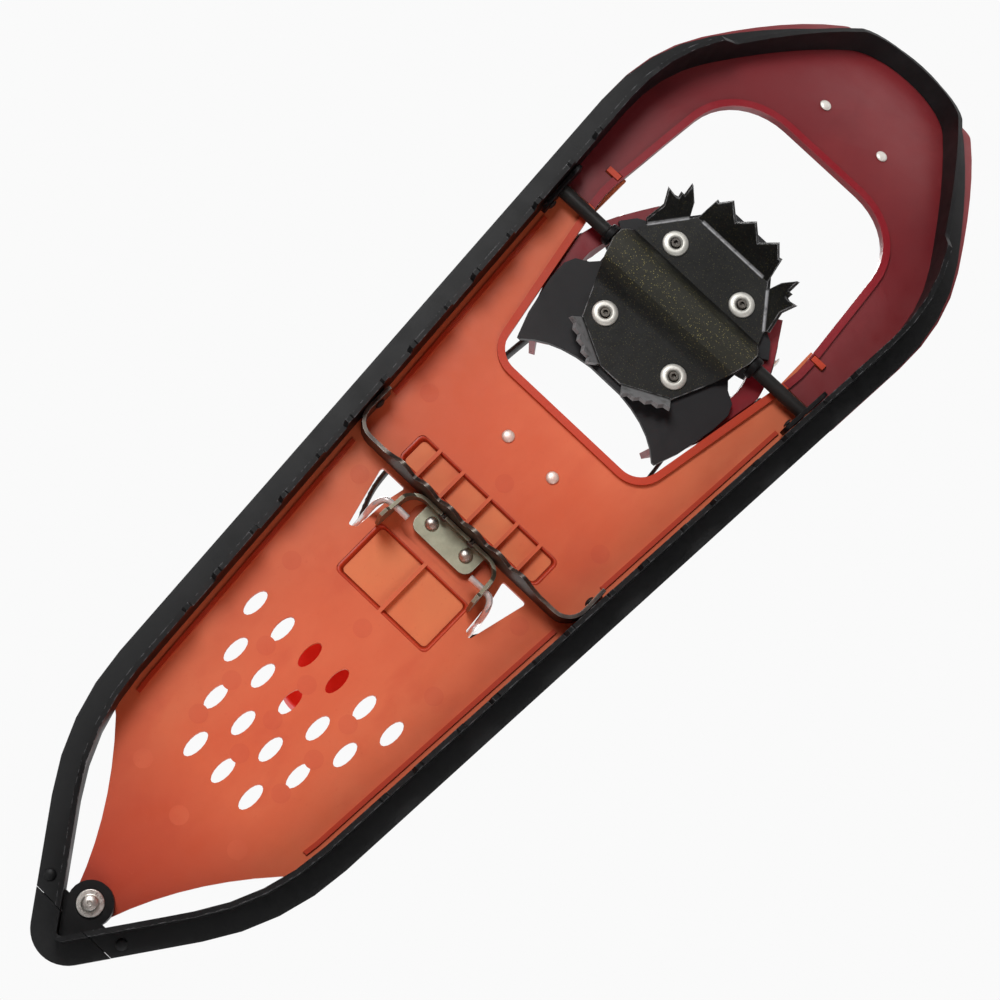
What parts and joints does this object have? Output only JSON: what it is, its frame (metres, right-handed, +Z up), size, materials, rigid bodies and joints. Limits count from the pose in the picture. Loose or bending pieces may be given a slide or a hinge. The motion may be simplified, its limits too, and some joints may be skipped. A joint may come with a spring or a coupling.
{
  "type": "snowshoe",
  "caption": "Snowshoe: toothed rail frame, curled toe deck and vented rear deck, pivoting toe crampon with strapped boot cradle, folding heel lifter.",
  "frame": {"origin": "on the ground under the middle of the overall box", "axes": "+Z up with the teeth down, -Y towards the curled toe, +Y towards the tail, +X to the wearer's left when facing the toe"},
  "size_m": [0.1982, 0.6309, 0.0858],
  "materials": {
    "maroon_deck": "moulded, satin",
    "orange_deck": "moulded, mottled satin",
    "crimson_plastic": "moulded, semi gloss",
    "red_pad": "soft moulded pad",
    "black_coated_metal": "black powder coat",
    "crampon_coated_metal": "black speckled coat, edges worn bright",
    "zinc_steel": "zinc plated",
    "chrome_wire": "bright plated wire",
    "black_plastic": "moulded, satin",
    "strap_webbing": "flexible ribbed strap",
    "steel_fastener": "plain steel"
  },
  "bodies": {
    "snowshoe": {"axle_bracket_left": "black_coated_metal", "axle_bracket_right": "black_coated_metal", "axle_bracket_rivet_left": "black_coated_metal", "axle_bracket_rivet_right": "black_coated_metal", "crossbar_crampon": "zinc_steel", "crossbar_rivet_left": "black_coated_metal", "crossbar_rivet_right": "black_coated_metal", "deck_rivet_left": "steel_fastener", "deck_rivet_right": "steel_fastener", "frame_rail": "black_coated_metal", "heel_crampon": "zinc_steel", "heel_rivet_left": "steel_fastener", "heel_rivet_right": "steel_fastener", "rear_deck": "orange_deck", "tail_bolt": "steel_fastener", "tail_cap": "black_plastic", "tail_screw_left": "black_coated_metal", "tail_screw_right": "black_coated_metal", "tail_washer": "steel_fastener", "toe_deck": "maroon_deck", "toe_rivet_left": "steel_fastener", "toe_rivet_right": "steel_fastener", "web_rivet_left": "black_coated_metal", "web_rivet_right": "black_coated_metal"},
    "binding": {"axle_rod": "black_coated_metal", "axle_collar_left": "black_plastic", "axle_collar_right": "black_plastic", "toe_crampon": "crampon_coated_metal", "footplate": "black_plastic", "cradle_left": "crimson_plastic", "cradle_right": "crimson_plastic", "toe_strap": "strap_webbing", "instep_strap": "strap_webbing", "toe_slider": "black_plastic", "buckle_frame": "black_plastic", "toe_strap_rivet_left": "steel_fastener", "toe_strap_rivet_right": "steel_fastener", "instep_strap_rivet_left": "steel_fastener", "instep_strap_rivet_right": "steel_fastener", "heel_pivot_left": "steel_fastener", "heel_pivot_right": "steel_fastener", "crampon_screw_front_left": "steel_fastener", "crampon_screw_front_right": "steel_fastener", "crampon_screw_rear_left": "steel_fastener", "crampon_screw_rear_right": "steel_fastener", "crampon_washer_front_left": "steel_fastener", "crampon_washer_front_right": "steel_fastener", "crampon_washer_rear_left": "steel_fastener", "crampon_washer_rear_right": "steel_fastener"},
    "heel_loop": {"heel_strap_left": "strap_webbing", "heel_strap_right": "strap_webbing", "heel_pad": "red_pad", "heel_pad_rivet_left": "steel_fastener", "heel_pad_rivet_right": "steel_fastener"},
    "lifter": {"heel_lifter": "chrome_wire"},
    "lever": {"buckle_lever": "crimson_plastic"}
  },
  "joints": [
    {"name": "binding_pivot", "type": "hinge", "parent": "snowshoe", "child": "binding", "pos_m": [0, -0.1127, 0.0155], "axis": [1, 0, 0], "range_deg": [0, 65]},
    {"name": "heel_lifter_fold", "type": "hinge", "parent": "snowshoe", "child": "lifter", "pos_m": [0, 0.0588, 0.011], "axis": [1, 0, 0], "range_deg": [0, 72]},
    {"name": "heel_loop_swing", "type": "hinge", "parent": "binding", "child": "heel_loop", "pos_m": [0, -0.0787, 0.056], "axis": [1, 0, 0], "range_deg": [0, 60]},
    {"name": "instep_lever", "type": "hinge", "parent": "binding", "child": "lever", "pos_m": [0.054, -0.0987, 0.07269], "axis": [0, 1, 0], "range_deg": [0, 80]}
  ]
}
